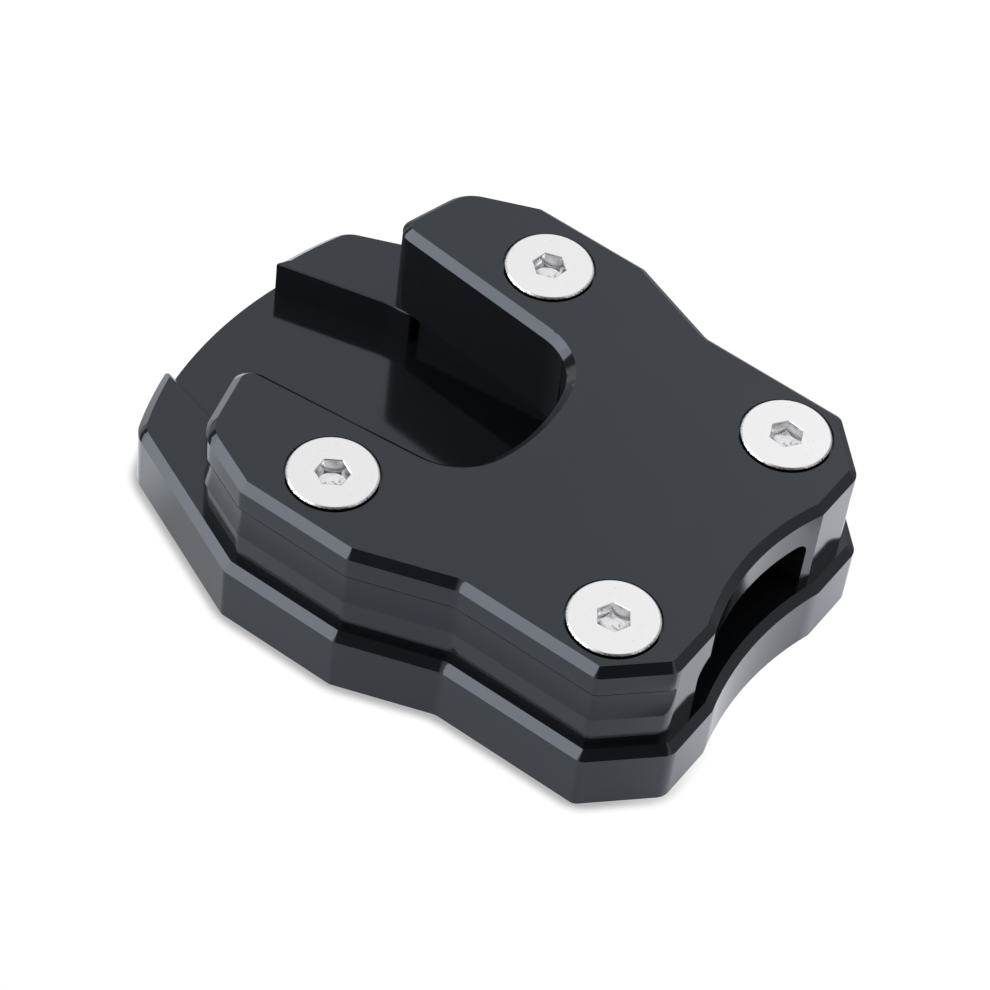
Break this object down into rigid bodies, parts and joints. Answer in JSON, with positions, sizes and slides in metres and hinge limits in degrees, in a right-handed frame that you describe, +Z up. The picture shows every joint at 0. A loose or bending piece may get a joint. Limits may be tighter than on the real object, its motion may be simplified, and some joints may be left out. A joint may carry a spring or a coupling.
{
  "type": "kickstand foot enlarger",
  "caption": "Two-part machined foot plate that clamps round the end of a kickstand to widen its footprint, with a U-slot for the leg and a grip groove.",
  "frame": {"origin": "centre of the underside, on the ground", "axes": "+X towards the scalloped front, +Y to the left, +Z up"},
  "size_m": [0.0907, 0.0694, 0.0254],
  "materials": {
    "black_anodised": "satin",
    "bright_steel": "satin"
  },
  "bodies": {
    "root": {"base_plate": "black_anodised", "clamp_plate": "black_anodised", "screw_rear_right": "bright_steel", "screw_rear_left": "bright_steel", "screw_front_right": "bright_steel", "screw_front_left": "bright_steel"}
  },
  "joints": []
}
